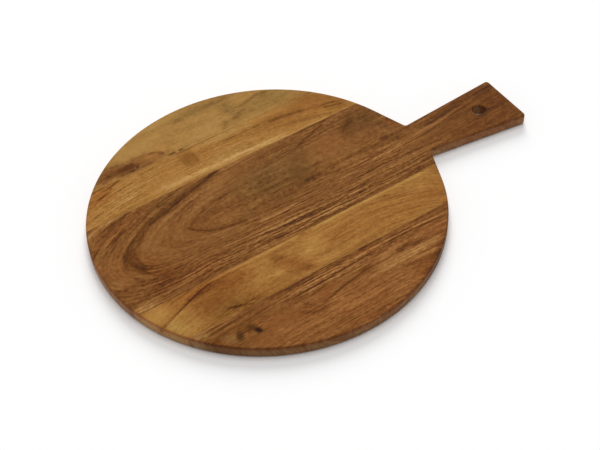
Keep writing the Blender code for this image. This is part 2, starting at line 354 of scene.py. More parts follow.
HANDLE_STAVE_LINES = (
    # Outer arch: its upper leg and its tip
    (-0.30, 1.4, (
        (-12, 60), (-22, 57), (-32, 53.5), (-40, 50.5), (-50, 47.5), (-60, 44.5), (-70, 40.5),
        (-80, 37), (-90, 34), (-97, 30.5),
    )),
    (-0.12, 2.6, ((-30, 57), (-40, 53), (-55, 48.5), (-70, 43), (-82, 39), (-92, 35.5), (-103, 28))),
    (-0.30, 2.1, ((-31, 54.5), (-25, 57), (-18, 58.5), (-13, 60))),
    (-0.20, 4.0, (
        (-97, 30.5), (-104, 26), (-111, 21), (-118, 15), (-122.5, 9), (-124, 3), (-122, -3),
        (-119, -8), (-115, -13), (-110, -18),
    )),
    (-0.12, 1.2, ((-125, 6), (-123.5, -1), (-120, -7), (-116, -12))),
    (-0.16, 1.0, ((-119, 19.5), (-114, 22), (-109, 24.5))),
    # Pale band and dark lines outside its upper leg
    (0.36, 2.8, ((-146, 44), (-136, 49.5), (-125, 53.8), (-112, 57), (-98, 59.5))),
    (-0.24, 0.9, ((-143, 41), (-135, 44.5), (-125, 48.5), (-112, 52), (-100, 55))),
    (-0.20, 0.9, ((-147, 19), (-139, 26.5), (-130, 30.5), (-120, 35), (-110, 38), (-97, 42))),
    (-0.12, 0.8, ((-146, 28), (-138, 33), (-128, 38), (-116, 42))),
    (-0.12, 0.8, ((-141, 37), (-128, 43), (-114, 47), (-98, 50.5))),
    (-0.14, 0.8, ((-96, 52), (-84, 55.5), (-70, 57))),
    (-0.18, 0.8, ((-79, 47.5), (-74, 48.3), (-69, 48.5))),
    (-0.14, 0.8, ((-72, 52), (-66, 53.5), (-60, 54))),
    # Inner arch: its tip and both legs
    (-0.26, 2.0, ((-66.5, 14), (-66, 11), (-64, 8))),
    (-0.30, 1.2, ((-65, 9), (-60, 5), (-55, 1.5), (-50, -1), (-44, -3))),
    (-0.20, 2.0, ((-47, -2.5), (-38, -4), (-30, -4.7), (-21, -7))),
    (-0.20, 1.6, ((-65, 14), (-56, 19), (-49, 23.5), (-44, 28))),
    # Dashes between the arches' upper legs
    (-0.20, 0.8, ((-71, 23.5), (-67.5, 26.5), (-63.5, 29.5))),
    (-0.14, 0.8, ((-60, 35.8), (-54, 37.5), (-49, 39))),
    (-0.14, 0.8, ((-58, 31.5), (-53, 33.5), (-49.5, 35))),
    (-0.14, 0.8, ((-42, 42), (-38, 43.3))),
    (-0.16, 0.8, ((-31, 27), (-25, 29), (-17, 31.5))),
    (-0.10, 1.0, ((-22, 40), (-10, 43), (5, 46))),
    # Pale streak under the inner arch, and dark ones beside it
    (-0.22, 0.9, ((-18, -9.8), (-12, -10.6))),
    (0.34, 1.0, ((-17, -12.8), (-5, -13.4), (8, -13), (23, -11))),
    (-0.26, 0.9, ((-21, -14.6), (-6, -15.2), (8, -14.8), (21, -13.2))),
    (-0.12, 0.8, ((-8, -6.5), (6, -6), (14, -5.4))),
    (-0.14, 0.8, ((8, -9), (16, -8.6), (22, -7.8))),
    # Streaks at the left end, under the outer arch
    (-0.24, 0.9, ((-128, -23.3), (-121, -23), (-114, -22))),
    (-0.22, 0.9, ((-98, -21.5), (-91, -21), (-84, -21.6))),
    (-0.30, 1.3, ((-148, -16.5), (-142, -19.5), (-137, -21))),
    (0.18, 2.0, ((-129, -4), (-124, -11), (-119, -17), (-115, -20.5))),
    (-0.18, 1.8, ((-129, -12), (-126, -17), (-123, -21))),
    (0.12, 1.0, ((-132, -30.5), (-126, -30.2), (-120, -29.6))),
    (-0.10, 0.8, ((-136, -34), (-125, -33.4), (-112, -34))),
    # Streaks along the front seam, up to the shoulder
    (-0.16, 0.9, ((-60, -27.2), (-40, -26.6), (-20, -26.6), (0, -28), (12, -28))),
    (-0.20, 0.9, ((16, -28.2), (30, -27), (50, -27.2), (62, -26), (75, -25), (91, -23.4))),
    (0.18, 0.8, ((26, -29.2), (42, -28.6), (58, -28.4))),
    (0.16, 0.8, ((62, -27.4), (78, -26), (92, -25))),
    (-0.20, 0.8, ((-36, -32.6), (-22, -31.8), (-8, -31.6), (9, -32.6))),
    (-0.20, 0.8, ((20, -31.5), (40, -31), (62, -32), (76, -29.4))),
    (0.14, 0.7, ((-40, -34.4), (-20, -33.6), (2, -33.6))),
    (-0.20, 0.9, ((-38, -37), (-20, -36), (0, -35.6), (14, -35), (28, -33.6), (42, -33.2))),
    (-0.22, 0.9, ((-14, -38.6), (8, -38.6), (22, -38.4), (36, -36))),
    (0.14, 0.7, ((12, -36.6), (30, -35), (46, -34.6))),
    (-0.22, 0.9, ((42, -36), (56, -36.6), (68, -36.6))),
    (-0.22, 0.8, ((80, -27.6), (96, -26.6), (113, -25.6))),
    (-0.16, 0.8, ((64, -29.4), (76, -29))),
    (0.20, 0.8, ((86, -23), (100, -21.8), (113, -21))),
    (-0.16, 0.8, ((96, -20), (108, -20.2), (120, -19.8))),
    (-0.26, 1.1, ((120, -32.2), (127, -31.6), (134, -31))),
    (-0.30, 1.2, ((138, -27.2), (144, -26.4), (151, -25.6))),
    (-0.18, 0.8, (
        (112, -34.5), (116, -32.6), (119, -34.8), (123, -33.4), (127, -35.2), (132, -33.4),
        (138, -33.8),
    )),
    # Fine streaks in the right half
    (-0.16, 0.7, ((34, -2.6), (42, -2.2), (49, -2.6))),
    (-0.14, 0.7, ((30, -6.6), (42, -6.2), (52, -6.6))),
    (-0.16, 0.7, ((58, -6.6), (63, -6.6))),
    (0.16, 0.8, ((68, -7.2), (78, -6.6), (88, -6.4))),
    (-0.16, 0.7, ((68, -9.6), (78, -9), (86, -9.2))),
    (-0.16, 0.8, ((94, -8.4), (106, -8), (119, -7.2))),
    (-0.16, 0.8, ((104, -11.6), (113, -11.2))),
    (-0.12, 0.7, ((32, -14), (46, -13.4))),
    (-0.14, 0.8, ((60, -21), (66, -20.4))),
    (-0.12, 0.7, ((34, -17.6), (60, -17.2), (84, -16))),
    # Pale streak that runs into the handle, and dark ones beside it
    (0.20, 2.0, (
        (86, -4.6), (104, -3), (118, -1.8), (135, 1.6), (150, 3.8), (175, 6.5), (190, 9), (205, 12),
        (220, 14.5), (242, 18),
    )),
    (-0.26, 0.9, ((90, -1), (105, 0.6), (115, 1.6), (122, 2.6), (131, 5), (141, 5.6))),
    (-0.22, 0.8, ((159, 9.6), (170, 9.1), (178, 10), (188, 12), (200, 14), (213, 14.2))),
    (-0.22, 0.8, ((150, -0.6), (160, 0.1), (168, 2), (178, 4), (186, 5.6), (200, 9), (213, 10))),
    (-0.26, 1.0, ((227, 18.4), (239, 20.5), (249, 22.2))),
    (-0.14, 0.9, ((221, 13.8), (234, 15.6), (246, 16))),
    # Short dashes on the handle
    (-0.22, 1.0, ((199, -9.6), (206, -9), (213, -9.2))),
    (-0.16, 0.9, ((225, -5), (231, -4.4), (237, -4.6))),
    (-0.18, 0.9, ((212, -19), (219, -18.4))),
    (-0.16, 0.9, ((156, -13.6), (163, -13), (170, -13.4))),
    (-0.12, 0.8, ((150, -7), (164, -6.4), (180, -6))),
    # Row of dark dashes towards the handle's root
    (-0.26, 2.4, ((40, 6.4), (45, 7.4), (52, 8.2), (59, 8.2))),
    (-0.20, 1.0, ((47, 4.4), (56, 4.4), (66, 4))),
    (-0.24, 1.0, ((66, 7.9), (71, 8.3), (76, 8.6))),
    (-0.16, 0.9, ((85, 10.8), (92, 13.4), (100, 13.6), (112, 14.6))),
    (-0.30, 1.1, ((121, 15.6), (126, 15.9), (132, 16.1))),
    # Dark lines near the back seam
    (-0.26, 1.3, ((59, 48), (66, 51), (75, 54.2), (85, 58), (93, 61))),
    (-0.28, 1.6, ((64, 61), (75, 62.6), (86, 63), (103, 63.8))),
    (-0.10, 1.5, ((100, 40), (107, 46.5), (118, 53))),
)

HANDLE_STAVE_CLOUDS = (
    (-0.10, 0.4, 0.1, (-110, -9), (10, 13), 15),
    (-0.04, 0.5, 0.0, (-112, 44), (34, 8), 20),
    (-0.02, -0.5, 0.0, (-70, 52), (16, 6), 14),
    (0.08, 0.4, -0.25, (-138, 2), (10, 24), 0),
    (0.10, -0.3, 0.1, (-143, -11), (7, 7), 0),
    (0.00, 0.1, -0.3, (-131, -14), (12, 12), -20),
    (-0.06, 0.2, 0.0, (-121, 4), (9, 18), 12),
    (0.08, 0.2, -0.38, (-88, 10), (36, 24), 20),
    (0.01, 0.3, -0.1, (-38, 12), (27, 12), 8),
    (0.10, 0.0, 0.0, (-35, -9.5), (18, 2.5), -4),
    (0.05, 0.1, 0.0, (0, -18), (60, 6), 1),
    (0.02, -0.9, -0.2, (20, 27), (38, 20), 8),
    (-0.08, -0.5, -0.3, (43, 18), (9, 11), 0),
    (-0.07, -0.4, -0.2, (52, 34), (9, 15), -30),
    (0.05, 0.1, -0.4, (-5, 46), (34, 11), 8),
    (0.06, 0.4, -0.5, (88, 33), (34, 14), 6),
    (-0.14, -0.2, -0.2, (108, 47), (11, 5), 33),
    (-0.08, -0.7, -0.2, (124, 44), (15, 13), 0),
    (0.06, 0.8, 0.0, (143, 30), (7, 4), -70),
    (-0.16, 0.5, 0.2, (-111, -32), (16, 7), 0),
    (-0.11, 0.5, 0.0, (-105, -22), (14, 7), 0),
    (0.30, -0.1, 0.2, (-135, -44.5), (14, 5), 5),
    (-0.02, 0.5, 0.0, (-78, -32), (18, 12), 0),
    (0.07, 0.1, 1.2, (20, -31), (95, 9), 2),
    (0.05, 0.2, 0.5, (105, -8), (45, 14), 4),
    (-0.13, 0.3, -0.3, (216, 0), (48, 34), 0),
    (0.03, 0.1, -0.3, (158, -6), (16, 10), 0),
    (-0.08, 0.3, 0.0, (240, 0), (14, 16), 0),
    # Painted shadow beside the hanging hole's lip: these two clouds are darker and more olive
    (-0.26, -0.4, -0.2, (223.5, -3.5), (4, 5), -30),
    (-0.20, -0.5, -0.2, (217, -7), (5, 2.5), -30),
    (-0.06, 0.2, 0.0, (195, 21), (50, 5), 6),
    (-0.06, 0.2, 0.0, (212, -18), (42, 8), -4),
    (0.15, 0.0, 0.0, (-34, 40), (34, 8), 24),
    (0.13, 0.0, 0.0, (25, 60.5), (38, 4), 1),
    (0.15, 0.0, 0.0, (-76, 59), (11, 5), 4),
    (0.16, 0.0, 0.0, (-139, 38), (8, 8), 0),
    (-0.12, 0.0, 0.0, (-40, -27), (24, 6), 2),
    (-0.10, 0.0, 0.0, (58, -30), (14, 5), 2),
    (0.11, 0.0, 0.0, (70, -10), (30, 5), 3),
    (-0.14, 0.0, 0.0, (-134, -22), (9, 6), -15),
    (-0.12, -0.3, 0.0, (104, 36), (8, 8), 0),
    (-0.07, -0.2, 0.0, (-14, 2), (5, 10), 0),
    (0.08, 0.0, 0.0, (-52, -7), (16, 4), -5),
    (0.12, 0.0, 0.0, (-60, 60), (30, 3), 3),
    (0.10, 0.0, 0.0, (5, 62.5), (14, 2.5), 2),
    (0.10, 0.0, 0.0, (-42, 23), (22, 5), 8),
    (-0.10, 0.0, 0.0, (109, 8), (10, 6), 4),
    (0.08, 0.0, 0.0, (131, 26), (14, 6), -5),
    (-0.08, -0.3, 0.0, (-142, 22), (6, 7), 0),
)

BACK_INNER_LINES = (
    # Dark bars across the stave
    (-0.16, 2.0, ((-34, 102), (-33.6, 89), (-33.2, 75))),
    (-0.18, 2.0, ((-30.4, 102), (-30, 89), (-29.6, 75))),
    (-0.19, 2.0, ((-26.8, 102), (-26.4, 89), (-26, 75))),
    (-0.20, 2.0, ((-23.2, 102), (-22.8, 89), (-22.4, 75))),
    # Pale lines along its front seam
    (0.14, 2.4, ((-62, 62.5), (-30, 64.5), (0, 66.5), (30, 68), (62, 69))),
    (0.16, 0.7, ((20, 63.6), (60, 65), (104, 66.5))),
    # Short dashes at the left end
    (-0.30, 0.8, ((-104, 90), (-97, 92.4), (-89, 95.4))),
    (-0.24, 0.9, ((-121, 79.6), (-113, 83), (-105, 87))),
    (-0.20, 0.8, ((-103, 87.5), (-99, 89.6))),
    (-0.18, 0.8, ((-117, 71), (-111, 72.6))),
    (-0.20, 0.8, ((-118, 62), (-112, 63.2))),
    (-0.20, 0.9, ((-104.5, 62), (-103, 64))),
    (-0.16, 0.8, ((-103, 75.6), (-98, 76.6))),
    (-0.16, 0.8, ((-98, 82), (-93, 83.6))),
    (-0.14, 0.8, ((-92, 76), (-86, 78))),
    (-0.14, 0.9, ((-80, 74), (-77, 77.4), (-73.5, 75.6))),
    (-0.12, 0.8, ((-87, 70), (-80, 71.6))),
    # Slanted bands at the left end
    (-0.12, 1.4, ((-127, 72), (-112, 78), (-97, 83), (-80, 87))),
    (-0.10, 1.3, ((-130, 64), (-112, 70), (-92, 75), (-72, 79))),
    (-0.10, 1.4, ((-113, 88), (-100, 92.5), (-84, 96.5))),
    (0.10, 1.6, ((-128, 69), (-112, 74.5), (-95, 79.5), (-75, 83.5))),
    (0.10, 1.5, ((-122, 76.5), (-108, 82), (-92, 87.5), (-72, 91.5))),
    (0.10, 1.6, ((-122, 61.5), (-105, 66.5), (-85, 71), (-60, 74))),
    # Lines in the middle and at the right end
    (-0.26, 0.8, ((-37.5, 70), (-36, 67.5), (-34.5, 65))),
    (-0.16, 0.8, ((2, 88.8), (15, 89.4), (28, 90), (45, 90.2))),
    (-0.20, 0.9, ((38, 90.6), (42, 90.2), (46, 89.6))),
    (-0.15, 2.0, ((48, 89.4), (62, 89.4), (75, 88), (85, 86), (89, 84))),
    (-0.24, 0.9, ((104, 82.8), (111, 82), (119, 80.6))),
    (-0.28, 0.9, ((105, 79.3), (112, 77.4), (123, 74.4))),
    (0.08, 1.5, ((-8, 96), (10, 97.5), (30, 98.5))),
    (-0.12, 0.8, ((0, 85), (8, 86))),
    (-0.14, 0.8, ((-13, 83.5), (-10, 85.5))),
)

BACK_INNER_CLOUDS = (
    (-0.13, 0.9, 0.2, (-113, 87), (18, 10), 38),
    (0.12, 0.0, -0.3, (-56, 66), (18, 6), 4),
    (0.04, -0.1, 0.3, (-90, 75), (30, 10), 17),
    (0.00, 0.2, -0.4, (-28.2, 88), (9, 12), 0),
    (-0.04, 0.2, -0.2, (-13, 89), (7, 8), 0),
    (0.03, 0.1, -0.1, (-48, 86), (10, 10), 0),
    (-0.13, 0.4, -0.4, (70, 91), (24, 7), -4),
    (-0.14, 0.5, -0.4, (104, 90), (26, 12), -25),
    (-0.08, 0.2, 0.0, (70, 80), (45, 8), -3),
    (0.18, 0.0, 0.4, (10, 67), (50, 5), 2),
    (0.09, -0.4, -0.2, (14, 95.5), (32, 4), 2),
    (0.00, -0.3, 0.0, (82, 100), (26, 3), -2),
    (0.12, -0.3, 0.0, (6, 73), (24, 4.5), 2),
    (0.08, 0.0, 0.0, (-64, 88), (7, 5), 0),
    (0.08, 0.0, 0.0, (-55, 64), (35, 3), 3),
    (-0.10, 0.1, 0.0, (-90, 95.5), (12, 4), 12),
    (-0.11, 0.0, 0.0, (122, 74), (8, 6), -20),
)

BACK_OUTER_LINES = (
    # Upper edge of the dark patch round the knot
    (-0.08, 1.8, ((-101, 110.5), (-92, 112.6), (-80, 111.6), (-66, 111.6), (-56, 110.8))),
    (-0.22, 1.7, ((-56, 111), (-50, 109.4), (-45.5, 106.6), (-42.5, 103.4))),
    # Dark dashes at the seam
    (-0.46, 1.0, ((-40.5, 99.4), (-34, 99.8))),
    (-0.46, 1.0, ((-30.5, 99.8), (-26.5, 100))),
    # Marks in the patch round the knot
    (-0.22, 1.0, ((-74, 108), (-72.5, 106))),
    (-0.30, 1.4, ((-71, 101.6), (-68.5, 100.4))),
    (-0.26, 1.0, ((-78, 98.6), (-74, 98.2))),
    (-0.20, 0.8, ((-97, 105.5), (-95.5, 102))),
    (-0.16, 1.4, ((-90, 99), (-80, 98.4), (-66, 98.8), (-52, 99.4))),
    # Soft lines in the middle and at the right
    (-0.09, 2.4, ((-20, 134), (-8, 136.6), (10, 138), (28, 138.4), (44, 140))),
    (-0.14, 2.4, ((17, 102), (19, 107), (23, 112))),
    (-0.14, 2.2, ((28, 109), (38, 114), (46, 117.5))),
    (-0.20, 2.0, ((40, 121), (50, 124), (60, 127.2), (68, 128), (76, 126))),
    (-0.10, 2.2, ((33, 132), (31, 128))),
    (-0.10, 1.0, ((78, 103), (92, 104.5))),
    (0.08, 1.2, ((-2, 127), (6, 129.6), (14, 131))),
)

BACK_OUTER_CLOUDS = (
    (-0.22, 1.0, -0.2, (-66, 104), (27, 7.6), 0),
    (-0.26, 1.0, -0.1, (-99, 104), (18, 9), 6),
    (0.10, 0.3, -0.2, (-54, 104.5), (8, 4), -8),
    (-0.26, 0.0, -0.2, (-77, 104), (9, 5), 0),
    (0.10, -0.1, -0.2, (-60, 124), (26, 8), 8),
    (0.10, 0.0, -0.2, (3, 111), (14, 9), 0),
    (-0.12, -0.5, -0.2, (64, 116), (24, 11), 0),
    (0.03, -0.3, 0.0, (84, 112), (13, 9), -35),
    (-0.05, -0.4, -0.2, (6, 138), (36, 6), 0),
    (-0.10, 0.6, 0.0, (93, 104.5), (20, 5), -8),
    (0.14, -0.1, 0.0, (-29, 142), (18, 4), 12),
    (-0.16, -0.4, 0.0, (32, 125), (9, 10), 0),
    (0.11, 0.3, 0.0, (-45, 112), (8, 6), 0),
    (0.07, 0.0, 0.0, (-20, 114), (9, 7), 0),
    (-0.10, 0.0, 0.0, (-90, 112), (9, 5), 35),
    (-0.09, 0.0, 0.0, (-52, 132), (16, 5), 14),
    (-0.08, -0.1, 0.0, (32, 109), (18, 6), 8),
    (0.07, 0.1, 0.0, (-32, 105), (8, 4), 0),
    (-0.08, -0.1, 0.0, (73, 124), (12, 4.5), -28),
)

FRONT_INNER_LINES = (
    # Crack at the left end, and its pale edge
    (-0.46, 0.65, (
        (-142, -74.6), (-131, -69.5), (-120, -64.5), (-111, -60.7), (-100, -56), (-91, -52.6),
        (-80, -49.4),
    )),
    (0.14, 1.2, ((-130, -71.4), (-120, -66.6), (-110, -62.4))),
    # Pale lines along its back seam
    (0.24, 1.0, ((-78, -48), (-50, -46.4), (-20, -45), (5, -43.8))),
    (0.28, 1.5, ((10, -43.4), (50, -41), (100, -39.4), (138, -38.4))),
    # Dark lines near its front seam
    (-0.20, 1.0, ((-83, -79.4), (-76, -81), (-71, -82.5), (-65, -84.6), (-59, -87.2))),
    (-0.20, 0.9, ((-79, -80.4), (-70.5, -82.8))),
    # Upper edge of the dark patch in the middle
    (-0.18, 2.0, ((-28, -58.5), (-22, -57), (-15, -55))),
    # Soft lines over the hill on the right
    (-0.10, 2.2, ((10, -74), (22, -66), (36, -58), (50, -54), (70, -53), (95, -57), (122, -66))),
    (-0.08, 1.8, ((70, -46), (90, -49), (110, -55), (128, -62))),
    (-0.08, 2.0, ((40, -74), (60, -68), (85, -66), (110, -70))),
    (-0.16, 0.8, ((84, -43), (90, -44.6), (94, -43.8))),
    (-0.12, 0.8, ((60, -47), (66, -46.4))),
    (0.08, 2.0, ((-5, -66), (8, -58), (18, -53))),
)

FRONT_INNER_CLOUDS = (
    (0.24, -0.1, -0.3, (-130, -57), (12, 8.5), 25),
    (0.21, -0.4, 0.1, (-115, -76), (13, 12), 40),
    (-0.16, 0.5, 0.2, (-92, -50.5), (27, 7), 6),
    (-0.10, 0.3, 0.0, (-66, -54), (16, 8), 0),
    (-0.19, 0.2, -0.25, (-84, -66), (24, 15), 10),
    (-0.10, 0.4, 0.2, (-72, -83), (20, 5), 4),
    (0.05, 0.0, 0.1, (-39, -64), (13, 12), 0),
    (0.18, 0.0, 0.0, (8, -60), (14, 11), 30),
    (-0.13, 0.4, -0.2, (-16, -67), (13, 7), -51),
    (0.04, 0.3, 0.1, (70, -60), (44, 11), -4),
    (0.08, 0.0, 0.0, (85, -43), (55, 4), 2),
    (-0.05, 0.3, 0.0, (125, -62), (12, 12), -40),
    (0.10, 0.0, 0.0, (45, -43), (25, 3.5), 1),
    (0.12, -0.1, 0.0, (118, -52), (16, 9), -15),
    (0.15, 0.0, 0.0, (9, -78), (11, 4.5), 0),
    (0.07, 0.0, 0.0, (20, -64), (6, 8), -20),
    (0.22, -0.4, 0.0, (-124, -74), (6, 7), 0),
    (-0.09, 0.0, 0.0, (-55, -61), (8, 11), 0),
    (-0.10, -0.8, 0.0, (-76, -81), (20, 7), 3),
    (0.16, 0.0, 0.0, (-30, -71), (5, 4), 0),
    (-0.16, 0.0, 0.0, (-24, -51.5), (6, 3.5), 25),
    (-0.12, 0.1, 0.0, (-7, -76), (6, 4), -50),
    (-0.09, 0.0, 0.0, (-27, -61), (4, 4), 0),
    (0.08, 0.0, 0.0, (45, -73), (22, 4.5), 8),
)

FRONT_OUTER_LINES = (
    # Streaks along its seam
    (-0.28, 0.9, ((-50, -88.6), (-30, -87), (-12, -85.6), (4, -83.8), (20, -82.6))),
    (-0.30, 1.0, ((36, -82.6), (46, -82.2), (58, -82.2))),
    (-0.20, 0.9, ((90, -80.8), (108, -80), (126, -79.4))),
    (-0.28, 0.8, ((-46, -91.4), (-28, -90), (-10, -89))),
    (0.30, 0.9, ((-36, -93.2), (-15, -92.4), (8, -91.2), (26, -90), (42, -89))),
    (-0.34, 0.9, ((-32, -97.4), (-12, -96.6), (8, -94.8), (28, -92.6), (52, -90.6))),
    (0.26, 0.8, ((-26, -99.2), (-5, -97.6), (15, -95.6), (40, -93))),
    (-0.18, 0.8, ((-42, -98.8), (-32, -99.6), (-22, -101.6))),
    (-0.20, 0.8, ((-22, -104), (-12, -101.4), (-2, -99.4))),
    (-0.20, 0.8, ((24, -102.6), (34, -100.6), (44, -98.8))),
    (-0.26, 0.9, ((60, -84.4), (75, -85), (90, -85.6))),
    (-0.24, 0.8, ((86, -88.2), (102, -88.8), (121, -89.8))),
    (0.26, 0.8, ((86, -86.2), (104, -86.8), (121, -87.6))),
    (-0.20, 0.8, ((56, -88.6), (68, -88), (84, -88.2))),
    (-0.16, 0.8, ((52, -92), (70, -91), (90, -91.4))),
    # Fine pale and dark lines at the left end
    (0.22, 0.8, ((-115, -89.4), (-104, -88.4), (-92, -87.2), (-80, -86.6))),
    (-0.14, 0.7, ((-112, -92.6), (-100, -91), (-86, -89.4))),
    (0.18, 0.7, ((-111, -94.4), (-99, -92.8), (-86, -91))),
    (-0.14, 0.7, ((-110, -96.6), (-98, -95), (-84, -93))),
    (0.16, 0.7, ((-108, -98.6), (-97, -97), (-84, -95.4))),
    (-0.14, 0.8, ((-104, -101.6), (-94, -99.4), (-80, -98.4))),
    # Long dark line in the middle, and its branches
    (-0.34, 1.0, (
        (-17, -114.8), (-9, -112.8), (-1, -110.6), (6, -108.4), (13, -107.2), (21, -105.6),
        (30, -104.1), (39, -103.9), (50, -103.7), (60, -102.1),
    )),
    (-0.30, 1.6, ((59, -102.2), (65, -101.8), (70, -100.8), (77.5, -102.2), (84, -101.6))),
    (-0.20, 1.0, ((82, -101.7), (93, -101.9))),
    (-0.24, 1.5, ((61, -100.6), (64, -100), (67, -100.6))),
    (-0.22, 1.0, ((66, -99.6), (73, -97.6), (81, -95.6))),
    # Pale and dark lines in front of it
    (0.16, 0.9, ((-14, -115.6), (-6, -114), (4, -111.6))),
    (0.18, 1.6, ((-9, -116), (-4, -117.4), (0, -119))),
    (0.16, 0.8, ((-10, -126.4), (-4, -126), (2, -125))),
    (-0.20, 1.8, ((-38, -112), (-31, -116.7), (-22, -120), (-15, -118))),
    (-0.18, 0.9, ((-34, -109.5), (-30, -111.5), (-26, -113.6))),
    (0.14, 0.7, ((-34, -111), (-30, -113.2), (-26, -115.4))),
    (-0.16, 0.8, ((-29, -108.5), (-26, -110.5), (-22, -112.6))),
    (-0.16, 0.9, ((-47, -123), (-40, -123.4), (-34, -123.8))),
    (-0.18, 0.9, ((4, -125.2), (18, -124), (34, -122.8), (52, -121.6))),
    (-0.14, 0.9, ((58, -118.6), (70, -118), (84, -116.6))),
    (0.14, 0.8, ((66, -116.6), (80, -115.4), (92, -114.6))),
    (0.14, 1.4, ((-6, -129), (20, -128), (44, -126))),
    (-0.12, 1.2, ((-40, -131), (-10, -132), (25, -130.4), (50, -128))),
    (-0.18, 2.4, ((64, -134), (80, -125.4), (94, -114.8), (106, -104))),
    (-0.12, 1.0, ((-20, -136.6), (10, -136.4), (35, -134))),
    # Dark lines beside the knot, and two pale flecks
    (-0.20, 1.4, ((-87, -107.6), (-82, -107), (-77, -107.4))),
    (-0.16, 1.6, ((-77, -103), (-75, -106.4), (-73, -109))),
    (0.24, 0.8, ((-60, -119.4), (-55, -119.8))),
    (0.24, 0.9, ((-61, -133.4), (-57, -132.6))),
)

FRONT_OUTER_CLOUDS = (
    (0.03, 0.1, 0.6, (14, -92), (70, 8), 2),
    # The next cloud is darker in tone, and its greyer colour is a painted sheen
    (-0.12, -0.4, -0.25, (-101, -99), (15, 8), -30),
    (-0.15, -0.2, -0.3, (-70, -97), (26, 8), -3),
    (-0.22, -0.2, 0.3, (12, -86), (9, 3.5), 4),
    (-0.16, 0.3, 0.2, (41, -85.5), (6, 3.5), 0),
    # The knot: its own dark wood, with painted shade in its hollow
    (-0.80, -0.6, 0.0, (-71.8, -110.6), (2.9, 1.9), -55),
    (-0.20, -0.6, 0.0, (-74, -107.6), (6, 4), -55),
    (-0.36, -0.9, 0.0, (-86.8, -108.4), (5, 2.7), 70),
    (-0.10, 0.3, 0.0, (-82, -103.6), (6, 4), 0),
    (0.14, -0.6, -0.4, (-95, -107.2), (6, 5), -35),
    (-0.22, 0.3, 0.0, (-101, -110), (12, 4), -48),
    (0.04, 0.7, 0.0, (-68, -104), (5, 3), -70),
    (-0.03, 0.0, -0.5, (-77, -120), (16, 9), -24),
    (-0.02, 0.5, -0.3, (-8, -105), (8, 3.6), 8),
    (0.00, 0.3, -0.5, (-50, -113), (18, 11), 0),
    (0.37, -0.1, 0.3, (68, -109), (28, 6), 4),
    (0.06, 0.0, 0.0, (30, -112), (14, 5), 10),
    (-0.02, 0.3, 0.0, (100, -96), (14, 8), -30),
    (-0.08, 0.5, 0.0, (68, -126), (14, 6), 28),
    (-0.02, 0.3, 0.0, (15, -145), (34, 5), 0),
    (0.09, 0.3, -0.1, (4, -123), (52, 12), 2),
    (0.00, 0.0, -0.4, (26, -106), (34, 4), 6),
    (0.24, -0.7, 0.0, (-111, -92), (7, 5), -30),
    (0.26, 0.0, 0.0, (47, -104), (12, 4.5), 2),
    (-0.12, 0.0, 0.0, (66, -114), (14, 4.5), 5),
    (-0.11, -0.1, 0.0, (22, -88.5), (14, 5), 2),
    (-0.06, 0.0, 0.0, (78, -99), (10, 5), 0),
    (-0.06, 0.0, 0.0, (-22, -120), (16, 7), 0),
    (0.07, 0.2, 0.0, (15, -135), (26, 5), 2),
    (-0.06, -0.8, 0.0, (-88, -112), (6, 5), 0),
    (0.09, 0.1, 0.0, (52, -132), (10, 5), 22),
    (-0.08, 0.0, 0.0, (17, -99), (8, 4), 5),
)

# Drawing of lines: steps in a span, half widths looked at, and the share that fades at each end
ROUTE_STEPS = 6
LINE_REACH = 3
LINE_FADE = 0.15

# Drawing of clouds: the power of the squared distance that makes them flat in the middle
CLOUD_FALL = 1.5


def smooth_route(points):
    """Points along a curve through the given ones.

    Each span is a cubic. At a given point it runs parallel to the line between that point's neighbours.
    """
    points = np.array(points, float)
    padded = np.concatenate([2 * points[:1] - points[1:2], points, 2 * points[-1:] - points[-2:-1]])
    share = np.linspace(0.0, 1.0, ROUTE_STEPS + 1)[:-1, None, None]
    before, start, end, after = padded[:-3], padded[1:-2], padded[2:-1], padded[3:]
    curve = 0.5 * (
        2 * start
        + (end - before) * share
        + (2 * before - 5 * start + 4 * end - after) * share ** 2
        + (3 * start - before - 3 * end + after) * share ** 3
    )
    return np.concatenate([curve.transpose(1, 0, 2).reshape(-1, 2), points[-1:]])


def line_weight(x, y, half_width, points):
    """How strongly each point lies on a line: a bell over the distance to it, fading at both ends."""
    route = smooth_route(points)
    weight = np.zeros(x.shape)
    reach = LINE_REACH * half_width
    low, high = route.min(axis=0) - reach, route.max(axis=0) + reach
    near = np.flatnonzero((x > low[0]) & (x < high[0]) & (y > low[1]) & (y < high[1]))
    if not near.size:
        return weight
    place = np.stack([x[near], y[near]], axis=-1)[:, None]
    start, step = route[:-1], np.diff(route, axis=0)
    share = ((place - start) * step).sum(axis=-1) / (step ** 2).sum(axis=-1)
    share = np.clip(share, 0.0, 1.0)
    distance = np.linalg.norm(place - start - share[..., None] * step, axis=-1)
    nearest = distance.argmin(axis=1)
    picked = np.arange(len(near))
    along = (nearest + share[picked, nearest]) / len(step)
    fade = np.clip(np.minimum(along, 1.0 - along) / LINE_FADE, 0.0, 1.0)
    weight[near] = np.exp(-(distance[picked, nearest] / half_width) ** 2) * np.sqrt(fade)
    return weight


def cloud_weight(x, y, middle, half_sizes, turn):
    """How strongly each point lies in a cloud.

    A bell that falls with the cube of the distance, counted in the half sizes of a turned ellipse.
    """
    turn = math.radians(turn)
    along = ((x - middle[0]) * math.cos(turn) + (y - middle[1]) * math.sin(turn)) / half_sizes[0]
    across = ((y - middle[1]) * math.cos(turn) - (x - middle[0]) * math.sin(turn)) / half_sizes[1]
    return np.exp(-(along ** 2 + across ** 2) ** CLOUD_FALL)


# Arches of the handle stave, in millimetres: the tips of the outer and the inner dark arch
OUTER_TIP_X = -127.0
INNER_TIP_X = -66.0
INNER_TIP_Y = 10.5

# Their axis: its slopes to the left and right of the inner tip, and the bend near the handle
AXIS_SLOPE_LEFT = 0.147
AXIS_SLOPE_RIGHT = 0.02
AXIS_BEND = 0.0003
AXIS_BEND_START = 60.0

